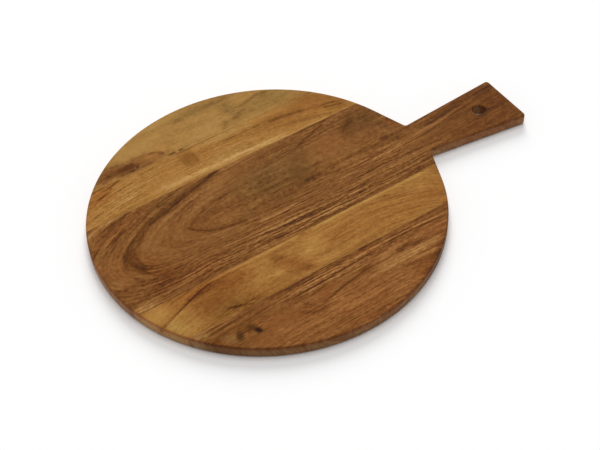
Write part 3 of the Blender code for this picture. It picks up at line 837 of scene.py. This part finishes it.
# How narrow an arch is at the outer tip, and the run of tips over which that grows by a factor e
ARCH_NARROWNESS = 0.042
ARCH_GROWTH_RUN = 54.0
ARCH_GROWTH_LIMITS = (-6.0, 2.0)

# How far from the axis its legs are level, and the loss for each millimetre its tip lies to the right
LEVEL_BELOW = 34.0
LEVEL_BELOW_LOSS = 0.3
LEVEL_ABOVE = 60.0
LEVEL_ABOVE_LOSS = 0.5
LEAST_LEVEL = 4.0
NEARLY_LEVEL = 0.999
LEVEL_POWER = 4

# Search for an arch's tip by halving
TIP_NEAREST = 300.0
TIP_FURTHEST = -900.0
TIP_HALVINGS = 40

# Rings in a millimetre of tips, and how arches give way to level rings past the last whole arch
RINGS_ALONG = 0.35
LAST_TIP_X = -60.0
ARCH_LOSS = 0.9
LEVEL_RINGS = 0.6
LEVEL_RUN = 40.0


def arched_rings(x, y):
    """Ring number of the handle stave, where the saw cut through the rings' arches.

    A ring is an arch that opens to the right: its leg's distance from the arches' axis grows with the
    root of the distance behind its tip, and then levels out. The tip's place is found by halving.
    Past the last whole arch the arches give way little by little to level rings.
    """
    past_inner = x - INNER_TIP_X
    axis = INNER_TIP_Y + np.where(past_inner < 0.0, AXIS_SLOPE_LEFT, AXIS_SLOPE_RIGHT) * past_inner
    axis += AXIS_BEND * np.maximum(x - AXIS_BEND_START, 0.0) ** 2
    leg = y - axis
    nearest = np.full(x.shape, TIP_NEAREST)
    furthest = np.full(x.shape, TIP_FURTHEST)
    for _ in range(TIP_HALVINGS):
        tip = (nearest + furthest) / 2
        past_outer = tip - OUTER_TIP_X
        narrow = ARCH_NARROWNESS * np.exp(np.clip(past_outer / ARCH_GROWTH_RUN, *ARCH_GROWTH_LIMITS))
        below = LEVEL_BELOW - LEVEL_BELOW_LOSS * past_outer
        above = LEVEL_ABOVE - LEVEL_ABOVE_LOSS * past_outer
        level = np.maximum(np.where(leg < 0.0, below, above), LEAST_LEVEL)
        squeeze = 1.0 - np.clip(leg / level, -NEARLY_LEVEL, NEARLY_LEVEL) ** LEVEL_POWER
        is_past = tip + narrow * leg ** 2 / squeeze > x
        nearest = np.where(is_past, tip, nearest)
        furthest = np.where(is_past, furthest, tip)
    inside = np.maximum(tip - LAST_TIP_X, 0.0)
    arches = -RINGS_ALONG * (tip - ARCH_LOSS * inside)
    return arches + LEVEL_RINGS * leg * inside / (inside + LEVEL_RUN)


def straight_rings(x, y):
    """Ring number of the front outer stave: nearly straight, rising to the right in a slight arc."""
    rise, bend = 0.05, 0.0002
    return y - rise * x + bend * x ** 2


def left_slanted_rings(x, y):
    """Ring number of the back inner stave: slanted at the left end, level, and falling at the right."""
    left_start, left_bend = -20.0, 0.0013
    right_start, right_bend = 40.0, 0.0020
    left = np.minimum(x - left_start, 0.0)
    right = np.maximum(x - right_start, 0.0)
    return y + left_bend * left ** 2 + right_bend * right ** 2


def knot_rings(x, y):
    """Ring number of the back outer stave: nearly level, parting round the knot at its seam."""
    rise, knot_x, knot_y = 0.03, -75.0, 104.0
    stretch, reach, push, parting = 2.2, 10.0, 9.0, 3.0
    away = np.hypot((x - knot_x) / stretch, y - knot_y)
    return y - rise * x + push * np.exp(-(away / reach) ** 2) * np.tanh((y - knot_y) / parting)


def hill_rings(x, y):
    """Ring number of the front inner stave: slanted at the left end and a low hill on the right."""
    left_start, left_bend = -30.0, 0.0016
    hill_top, hill_bend, hill_run = 65.0, 0.0045, 30.0
    left = np.minimum(x - left_start, 0.0)
    right = np.maximum(x, 0.0)
    return y + left_bend * left ** 2 + hill_bend * (right - hill_top) ** 2 * right / (right + hill_run)


# Rim, from its lower edge to its upper one, as shares of the thickness: its wall is paler and greyer
# with painted light bounced from the floor, and its upper edge darker and redder
RIM_HEIGHTS = (0.0, 0.15, 0.50, 0.75, 0.90, 1.0)
RIM_TONES = (0.02, 0.18, 0.18, 0.10, -0.12, -0.22)
RIM_WARMTHS = (-0.4, -0.4, -0.4, 0.2, 0.9, 0.9)

# How much calmer its streaks are, and how much end grain shows where it faces along the grain
RIM_CALM = 0.4
END_GRAIN_ON_RIM = 0.15

# How much paler and warmer it is on the grip, and how much painted light makes the end away from the
# handle paler and warmer
GRIP_PALER = 0.2
GRIP_WARMER = 0.8
FAR_END_PAINTED_LIGHT = 0.20
FAR_END_PAINTED_WARMTH = 1.2

# Where along the axis that end's painted light begins, and where it is full
FAR_END_START = -0.110
FAR_END_FULL = -0.132

# The bore's painted highlight: how much paler, which way it lies from the middle, and how narrow it is
BORE_HIGHLIGHT = 0.4
BORE_HIGHLIGHT_AZIMUTH = math.radians(75.0)
BORE_HIGHLIGHT_POWER = 6


def rim_look(points, normals):
    """How far each point is on the rim or in the bore, and the change of tone and warmth there.

    The upper edge is darker and redder, and the wall below it paler and greyer with painted light
    bounced from the floor. The grip is paler and warmer, painted light makes the end away from the
    handle paler and warmer, and one side of the bore carries a painted highlight.
    """
    aside = points[:, 0] - HANGING_HOLE_X
    from_bore = np.hypot(aside, points[:, 1])
    is_inside = np.abs(points[:, 1]) < half_breadth(points[:, 0], EDGE_ROUND) - WELD_GRID
    is_face = is_inside & (from_bore > HANGING_HOLE_RADIUS + HANGING_HOLE_LIP - WELD_GRID)
    on_rim = np.where(is_face, 0.0, np.hypot(normals[:, 0], normals[:, 1]))
    height = points[:, 2] / BOARD_THICKNESS
    is_grip = points[:, 0] > BOARD_RADIUS
    # Painted light on the rim at the end away from the handle, paler and warmer
    far_end_light = np.interp(points[:, 0], (FAR_END_FULL, FAR_END_START), (1.0, 0.0))
    # Painted light bounced from the floor makes the wall paler and greyer below the darker upper edge
    paler = np.interp(height, RIM_HEIGHTS, RIM_TONES) + GRIP_PALER * is_grip
    paler += FAR_END_PAINTED_LIGHT * far_end_light
    warmer = np.interp(height, RIM_HEIGHTS, RIM_WARMTHS) + GRIP_WARMER * is_grip
    warmer += FAR_END_PAINTED_WARMTH * far_end_light
    # A painted highlight, paler and greyer, on one side of the bore
    turn = np.arctan2(points[:, 1], aside) - BORE_HIGHLIGHT_AZIMUTH
    bore_highlight = on_rim * (is_inside & ~is_face) * np.maximum(np.cos(turn), 0.0) ** BORE_HIGHLIGHT_POWER
    return on_rim, on_rim * paler + BORE_HIGHLIGHT * bore_highlight, on_rim * warmer - bore_highlight


def draw_figure(piece, points, knot, lines, clouds, rings, slant, streaky):
    """Works out the figure at every point and stores it on the mesh, where the materials read it.

    The figure goes down through the thickness with a sideways slant, as the rings do, so the rim and
    the underside carry on what the upper face shows.
    """
    normals = np.empty(len(points) * 3, np.float32)
    piece.data.vertices.foreach_get("normal", normals)
    normals = normals.reshape(-1, 3)
    x = points[:, 0] * MM
    depth = (BOARD_THICKNESS - points[:, 2]) * MM
    y = points[:, 1] * MM + slant * depth
    on_rim, tone, warmth = rim_look(points, normals)
    drawn = np.zeros(len(points))
    streaks = np.full(len(points), streaky)
    for change, half_width, route in lines:
        drawn += change * line_weight(x, y, half_width, route)
    for change, redder, more_streaky, middle, half_sizes, turn in clouds:
        weight = cloud_weight(x, y, middle, half_sizes, turn)
        tone += change * weight
        warmth += redder * weight
        streaks += more_streaky * weight
    end_grain = END_GRAIN_ON_RIM * np.abs(normals[:, 0])
    # The knot takes the dark end-grain tint: its own dark end grain, with painted shade in its hollow
    if knot:
        end_grain += cloud_weight(x, y, *knot[:3])
    fields = {
        "lines": drawn,
        "tone": tone,
        "warmth": warmth,
        "streaks": np.maximum(streaks, 0.0) * (1.0 - RIM_CALM * on_rim),
        "rings": rings(x, y) / MM,
        "rim": on_rim,
        "end_grain": end_grain,
    }
    for name, values in fields.items():
        stored = piece.data.attributes.new(name, "FLOAT", "POINT")
        stored.data.foreach_set("value", values.astype(np.float32))


# Wander of the rings: how far, how often in a metre, and in how much detail
WANDERS = ((0.004, 30.0), (0.0006, 220.0))
WANDER_DETAIL = 2.0

# Grain noises: repeats in a metre along the grain and across the rings, and detail
BANDS = (12.0, 120.0, 3.0)
STREAKS = (16.0, 760.0, 2.0)
DASHES = (60.0, 640.0, 1.0)
FLECKS = (280.0, 640.0, 1.0)

# Noises that don't follow the grain: repeats in a metre, and detail
MOTTLE = (150.0, 4.0)
GLUE_CLOUDS = (90.0, 3.0)
NOISE_ROUGHNESS = 0.55
NOISE_MIDDLE = 0.5

# The wood's middle tone, and how far each noise moves it
MIDDLE_TONE = 0.475
BAND_CHANGE = 0.38
STREAK_CHANGE = 1.6
DASH_CHANGE = 1.3
DASH_START = 0.06
DASH_BREAKS = 0.4
FLECK_CHANGE = 0.3
STREAKY_FLECKS = 0.5
MOTTLE_CHANGE = 0.25

# Tints that multiply the wood's colour
WARM_TINT = (1.10, 0.93, 0.88)
OLIVE_TINT = (0.86, 0.97, 0.98)
# The rim's cool tint is painted light bounced from the pale floor
RIM_BOUNCE_TINT = (0.92, 1.0, 1.35)
# End grain is darker; in the knot this tint also paints shade in its hollow
END_GRAIN_TINT = (0.28, 0.24, 0.26)

# Oiled surface: roughness, its change in the streaks, sheen, and the relief of flecks and pores
WOOD_ROUGHNESS = 0.55
STREAK_ROUGHNESS = 0.3
SHEEN = 0.12
FLECK_RELIEF = 0.5
RELIEF_STRENGTH = 0.3
RELIEF_DEPTH = 0.0002

# Cured glue
GLUE_DARK = (0.17, 0.08, 0.022, 1.0)
GLUE_PALE = (0.30, 0.15, 0.045, 1.0)
GLUE_ROUGHNESS = 0.6


def feed(tree, socket, value):
    """Sets an input to a number, or links it where the value is another node's output."""
    if isinstance(value, bpy.types.NodeSocket):
        tree.links.new(value, socket)
    else:
        socket.default_value = value


def new_node(tree, kind, **inputs):
    """A node with its named inputs filled."""
    node = tree.nodes.new(kind)
    for name, value in inputs.items():
        feed(tree, node.inputs[name], value)
    return node


def worked_out(tree, operation, first, second):
    """The result of one piece of arithmetic on two values."""
    node = tree.nodes.new("ShaderNodeMath")
    node.operation = operation
    feed(tree, node.inputs[0], first)
    feed(tree, node.inputs[1], second)
    return node.outputs[0]


def plus(tree, first, second):
    """Two values added."""
    return worked_out(tree, "ADD", first, second)


def minus(tree, first, second):
    """The second value taken from the first."""
    return worked_out(tree, "SUBTRACT", first, second)


def times(tree, first, second):
    """Two values multiplied."""
    return worked_out(tree, "MULTIPLY", first, second)


def drawn_field(tree, name):
    """A number that the figure stored on the mesh."""
    node = tree.nodes.new("ShaderNodeAttribute")
    node.attribute_name = name
    return node.outputs["Fac"]


def centred_noise(tree, vector, scale, detail):
    """Noise about zero."""
    noise = new_node(tree, "ShaderNodeTexNoise", Vector=vector, Scale=scale, Detail=detail)
    noise.inputs["Roughness"].default_value = NOISE_ROUGHNESS
    return minus(tree, noise.outputs["Fac"], NOISE_MIDDLE)


def wandering_rings(tree, plan):
    """The drawn ring number, pushed to and fro by slow and quick noise so that no rings run alike."""
    rings = drawn_field(tree, "rings")
    for push, scale in WANDERS:
        rings = plus(tree, rings, times(tree, centred_noise(tree, plan, scale, WANDER_DETAIL), push))
    return rings


def grain_noise(tree, plan, rings, along, across, detail):
    """Noise drawn out along the grain, about zero: slow in plan, quick from ring to ring."""
    place = new_node(tree, "ShaderNodeSeparateXYZ", Vector=plan)
    x = times(tree, place.outputs["X"], along)
    y = times(tree, place.outputs["Y"], along)
    stretched = new_node(tree, "ShaderNodeCombineXYZ", X=x, Y=y, Z=times(tree, rings, across))
    return centred_noise(tree, stretched.outputs[0], 1.0, detail)


def tinted(tree, colour, share, tint):
    """A colour with a share of a tint multiplied into it."""
    node = tree.nodes.new("ShaderNodeMix")
    node.data_type = "RGBA"
    node.blend_type = "MULTIPLY"
    tree.links.new(share, node.inputs["Factor"])
    tree.links.new(colour, node.inputs["A"])
    node.inputs["B"].default_value = (*tint, 1.0)
    return node.outputs["Result"]


def shaded(tree, tone, shades):
    """The colour at a tone, on an even scale of shades from dark to pale."""
    ramp = new_node(tree, "ShaderNodeValToRGB", Fac=tone)
    stops = ramp.color_ramp.elements
    for index, shade in enumerate(shades):
        place = index / (len(shades) - 1)
        stop = stops[index] if index < len(stops) else stops.new(place)
        stop.position = place
        stop.color = (*shade, 1.0)
    return ramp.outputs["Color"]


def wood_material(name, shades):
    """Oiled wood: its shade is picked by the drawn tone with the grain's noises added, then tinted."""
    material = bpy.data.materials.new(name)
    material.use_nodes = True
    tree = material.node_tree
    shader = tree.nodes["Principled BSDF"]
    plan = new_node(tree, "ShaderNodeTexCoord").outputs["Object"]
    rings = wandering_rings(tree, plan)
    grains = [grain_noise(tree, plan, rings, *grain) for grain in (BANDS, STREAKS, DASHES, FLECKS)]
    band, streak, dash, fleck = grains
    mottle = centred_noise(tree, plan, *MOTTLE)
    streaky = drawn_field(tree, "streaks")
    pore = worked_out(tree, "MAXIMUM", minus(tree, dash, DASH_START), 0.0)
    pore = times(tree, times(tree, pore, DASH_CHANGE), streaky)
    tone = plus(tree, drawn_field(tree, "tone"), MIDDLE_TONE)
    changes = (
        (drawn_field(tree, "lines"), plus(tree, times(tree, dash, DASH_BREAKS), 1.0)),
        (band, BAND_CHANGE),
        (times(tree, streak, STREAK_CHANGE), streaky),
        (fleck, plus(tree, times(tree, streaky, STREAKY_FLECKS), FLECK_CHANGE)),
        (mottle, MOTTLE_CHANGE),
    )
    for change, strength in changes:
        tone = plus(tree, tone, times(tree, change, strength))
    colour = shaded(tree, minus(tree, tone, pore), shades)
    warmth = drawn_field(tree, "warmth")
    tints = (
        (warmth, WARM_TINT),
        (times(tree, warmth, -1.0), OLIVE_TINT),
        # The rim's share of painted floor-bounce light
        (drawn_field(tree, "rim"), RIM_BOUNCE_TINT),
        (drawn_field(tree, "end_grain"), END_GRAIN_TINT),
    )
    for share, tint in tints:
        colour = tinted(tree, colour, share, tint)
    tree.links.new(colour, shader.inputs["Base Color"])
    roughness = plus(tree, times(tree, streak, STREAK_ROUGHNESS), WOOD_ROUGHNESS)
    tree.links.new(roughness, shader.inputs["Roughness"])
    shader.inputs["Specular IOR Level"].default_value = SHEEN
    height = minus(tree, times(tree, fleck, FLECK_RELIEF), pore)
    relief = new_node(tree, "ShaderNodeBump", Strength=RELIEF_STRENGTH, Height=height)
    relief.inputs["Distance"].default_value = RELIEF_DEPTH
    tree.links.new(relief.outputs["Normal"], shader.inputs["Normal"])
    return material


def glue_material():
    """Cured glue, sanded flush: amber brown with a cloudy variation along the joint."""
    material = bpy.data.materials.new("cured_glue")
    material.use_nodes = True
    tree = material.node_tree
    shader = tree.nodes["Principled BSDF"]
    place = new_node(tree, "ShaderNodeTexCoord").outputs["Object"]
    scale, detail = GLUE_CLOUDS
    noise = new_node(tree, "ShaderNodeTexNoise", Vector=place, Scale=scale, Detail=detail)
    ramp = new_node(tree, "ShaderNodeValToRGB", Fac=noise.outputs["Fac"])
    ramp.color_ramp.elements[0].color = GLUE_DARK
    ramp.color_ramp.elements[1].color = GLUE_PALE
    tree.links.new(ramp.outputs["Color"], shader.inputs["Base Color"])
    shader.inputs["Roughness"].default_value = GLUE_ROUGHNESS
    shader.inputs["Specular IOR Level"].default_value = SHEEN
    return material


# Shades of each stave's wood, from its darkest to its palest
HANDLE_STAVE_SHADES = (
    (0.05, 0.014, 0.003),
    (0.104, 0.034, 0.004),
    (0.194, 0.076, 0.017),
    (0.293, 0.13, 0.036),
    (0.426, 0.223, 0.072),
)
BACK_INNER_SHADES = (
    (0.081, 0.024, 0.001),
    (0.215, 0.09, 0.016),
    (0.350, 0.163, 0.036),
    (0.444, 0.243, 0.073),
    (0.557, 0.334, 0.119),
)
BACK_OUTER_SHADES = (
    (0.081, 0.028, 0.003),
    (0.208, 0.099, 0.024),
    (0.354, 0.187, 0.047),
    (0.444, 0.255, 0.079),
    (0.544, 0.344, 0.13),
)
FRONT_INNER_SHADES = (
    (0.068, 0.018, 0.001),
    (0.187, 0.068, 0.011),
    (0.303, 0.131, 0.028),
    (0.402, 0.203, 0.049),
    (0.507, 0.288, 0.085),
)
FRONT_OUTER_SHADES = (
    (0.066, 0.021, 0.004),
    (0.13, 0.043, 0.006),
    (0.224, 0.085, 0.021),
    (0.320, 0.145, 0.040),
    (0.437, 0.23, 0.072),
)

# The knot's hollow in the front outer stave: middle, half sizes, turn in degrees, and depth
KNOT = ((-71.8, -110.6), (2.6, 1.6), -55, 0.0008)

# The staves: slant is how far the figure moves sideways per millimetre down, streaky how streaked it is
STAVES = (
    dict(
        node="handle_stave",
        slot="brown_heartwood",
        seam_below="front_inner_glue_line",
        seam_above="back_inner_glue_line",
        shades=HANDLE_STAVE_SHADES,
        has_handle=True,
        lines=HANDLE_STAVE_LINES,
        clouds=HANDLE_STAVE_CLOUDS,
        rings=arched_rings,
        slant=0.4,
        streaky=0.6,
    ),
    dict(
        node="back_inner_stave",
        slot="golden_back_inner",
        seam_below="back_inner_glue_line",
        seam_above="back_outer_glue_line",
        shades=BACK_INNER_SHADES,
        lines=BACK_INNER_LINES,
        clouds=BACK_INNER_CLOUDS,
        rings=left_slanted_rings,
        slant=-0.5,
        streaky=0.4,
    ),
    dict(
        node="back_outer_stave",
        slot="golden_back_outer",
        seam_below="back_outer_glue_line",
        seam_above=None,
        shades=BACK_OUTER_SHADES,
        lines=BACK_OUTER_LINES,
        clouds=BACK_OUTER_CLOUDS,
        rings=knot_rings,
        slant=0.5,
        streaky=0.15,
    ),
    dict(
        node="front_inner_stave",
        slot="golden_front_inner",
        seam_below="front_outer_glue_line",
        seam_above="front_inner_glue_line",
        shades=FRONT_INNER_SHADES,
        lines=FRONT_INNER_LINES,
        clouds=FRONT_INNER_CLOUDS,
        rings=hill_rings,
        slant=-0.5,
        streaky=0.35,
    ),
    dict(
        node="front_outer_stave",
        slot="orange_front_outer",
        seam_below=None,
        seam_above="front_outer_glue_line",
        shades=FRONT_OUTER_SHADES,
        knot=KNOT,
        lines=FRONT_OUTER_LINES,
        clouds=FRONT_OUTER_CLOUDS,
        rings=straight_rings,
        slant=0.4,
        streaky=0.65,
    ),
)


def make_stave(node, slot, seam_below, seam_above, shades, has_handle=False, knot=None, **figure):
    """One stave between its seams, with its figure and its wood, in place of its plain solid."""
    low_edge = along_seam(seam_below, 1) if seam_below else None
    high_edge = along_seam(seam_above, -1) if seam_above else None
    plan = StavePlan(low_edge, high_edge, has_handle)
    piece, points = closed_surface(node + "_figured", stave_patches(plan, knot))
    draw_figure(piece, points, knot, **figure)
    piece.data.materials.append(wood_material(slot, shades))
    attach(piece, "root")
    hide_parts(node)


def finish_glue_lines():
    """Gives the glue lines' own solids the look of cured glue."""
    material = glue_material()
    for name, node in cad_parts.items():
        if name.endswith("glue_line"):
            node.data.materials.clear()
            node.data.materials.append(material)


# Floor
FLOOR_SIZE = 8.0
FLOOR_DROP = 0.0002
FLOOR_COLOUR = (0.98, 0.98, 0.98, 1.0)
FLOOR_ROUGHNESS = 0.9

# Light: share of a level surface's light, elevation, direction it comes from, and spread
SKY_SHARE = 0.35
SKY_COLOUR = (1.0, 1.0, 1.0, 1.0)
KEY = (0.31, math.radians(30.0), math.radians(60.0), math.radians(31.0))
FILL = (0.36, math.radians(80.0), math.radians(60.0), math.radians(50.0))

# Camera
CAMERA_LENS = 72.27
CAMERA_SENSOR = 36.0
CAMERA_AZIMUTH = math.radians(-29.55)
CAMERA_ELEVATION = math.radians(46.28)
CAMERA_ROLL = math.radians(-2.57)
CAMERA_DISTANCE = 0.9965
CAMERA_AIM = np.array([0.01598, -0.02594, 0.0])


def make_floor():
    """A wide flat sheet of pale floor, just under the board."""
    half = FLOOR_SIZE / 2
    mesh = bpy.data.meshes.new("pale_floor")
    corners = [(-half, -half), (half, -half), (half, half), (-half, half)]
    mesh.from_pydata([(x, y, -FLOOR_DROP) for x, y in corners], [], [(0, 1, 2, 3)])
    floor = bpy.data.objects.new("pale_floor", mesh)
    bpy.context.scene.collection.objects.link(floor)
    material = bpy.data.materials.new("pale_floor")
    material.use_nodes = True
    shader = material.node_tree.nodes["Principled BSDF"]
    shader.inputs["Base Color"].default_value = FLOOR_COLOUR
    shader.inputs["Roughness"].default_value = FLOOR_ROUGHNESS
    shader.inputs["Specular IOR Level"].default_value = 0.0
    mesh.materials.append(material)


def make_lamp(name, share, elevation, azimuth, spread):
    """A soft light from far off, unseen in the oil's sheen."""
    lamp = bpy.data.lights.new(name, "SUN")
    lamp.energy = share * math.pi / math.sin(elevation)
    lamp.angle = spread
    light = bpy.data.objects.new(name, lamp)
    light.rotation_euler = (math.pi / 2 - elevation, 0.0, azimuth + math.pi / 2)
    light.visible_glossy = False
    bpy.context.scene.collection.objects.link(light)


def make_light():
    """A soft key from behind, a broad fill from above, and a plain sky.

    The sky is white to the eye and in the oil's sheen, and lights the board with less than that.
    """
    make_lamp("soft_key", *KEY)
    make_lamp("soft_fill", *FILL)
    world = bpy.data.worlds.new("studio_sky")
    bpy.context.scene.world = world
    world.use_nodes = True
    tree = world.node_tree
    background = tree.nodes["Background"]
    background.inputs["Color"].default_value = SKY_COLOUR
    rays = new_node(tree, "ShaderNodeLightPath").outputs
    mirrored = worked_out(tree, "MAXIMUM", rays["Is Glossy Ray"], rays["Is Transmission Ray"])
    seen = worked_out(tree, "MAXIMUM", rays["Is Camera Ray"], mirrored)
    strength = new_node(tree, "ShaderNodeMapRange", Value=seen)
    strength.inputs["To Min"].default_value = SKY_SHARE
    strength.inputs["To Max"].default_value = 1.0
    tree.links.new(strength.outputs["Result"], background.inputs["Strength"])


def make_camera():
    """A long lens at the photograph's angle: back from the aim by azimuth and elevation, and rolled."""
    azimuth, elevation = CAMERA_AZIMUTH, CAMERA_ELEVATION
    level = math.cos(elevation)
    back = np.array([math.sin(azimuth) * level, -math.cos(azimuth) * level, math.sin(elevation)])
    right = np.array([math.cos(azimuth), math.sin(azimuth), 0.0])
    up = np.cross(back, right)
    rolled_right = math.cos(CAMERA_ROLL) * right + math.sin(CAMERA_ROLL) * up
    rolled_up = math.cos(CAMERA_ROLL) * up - math.sin(CAMERA_ROLL) * right
    pose = np.eye(4)
    pose[:3, :3] = np.stack([rolled_right, rolled_up, back], axis=1)
    pose[:3, 3] = CAMERA_AIM + back * CAMERA_DISTANCE
    lens = bpy.data.cameras.new("camera")
    lens.lens = CAMERA_LENS
    lens.sensor_fit = "HORIZONTAL"
    lens.sensor_width = CAMERA_SENSOR
    camera = bpy.data.objects.new("camera", lens)
    camera.matrix_world = pose.T.tolist()
    bpy.context.scene.collection.objects.link(camera)
    bpy.context.scene.camera = camera


for stave in STAVES:
    make_stave(**stave)
finish_glue_lines()
make_floor()
make_light()
make_camera()
bpy.context.scene.view_settings.view_transform = "Standard"
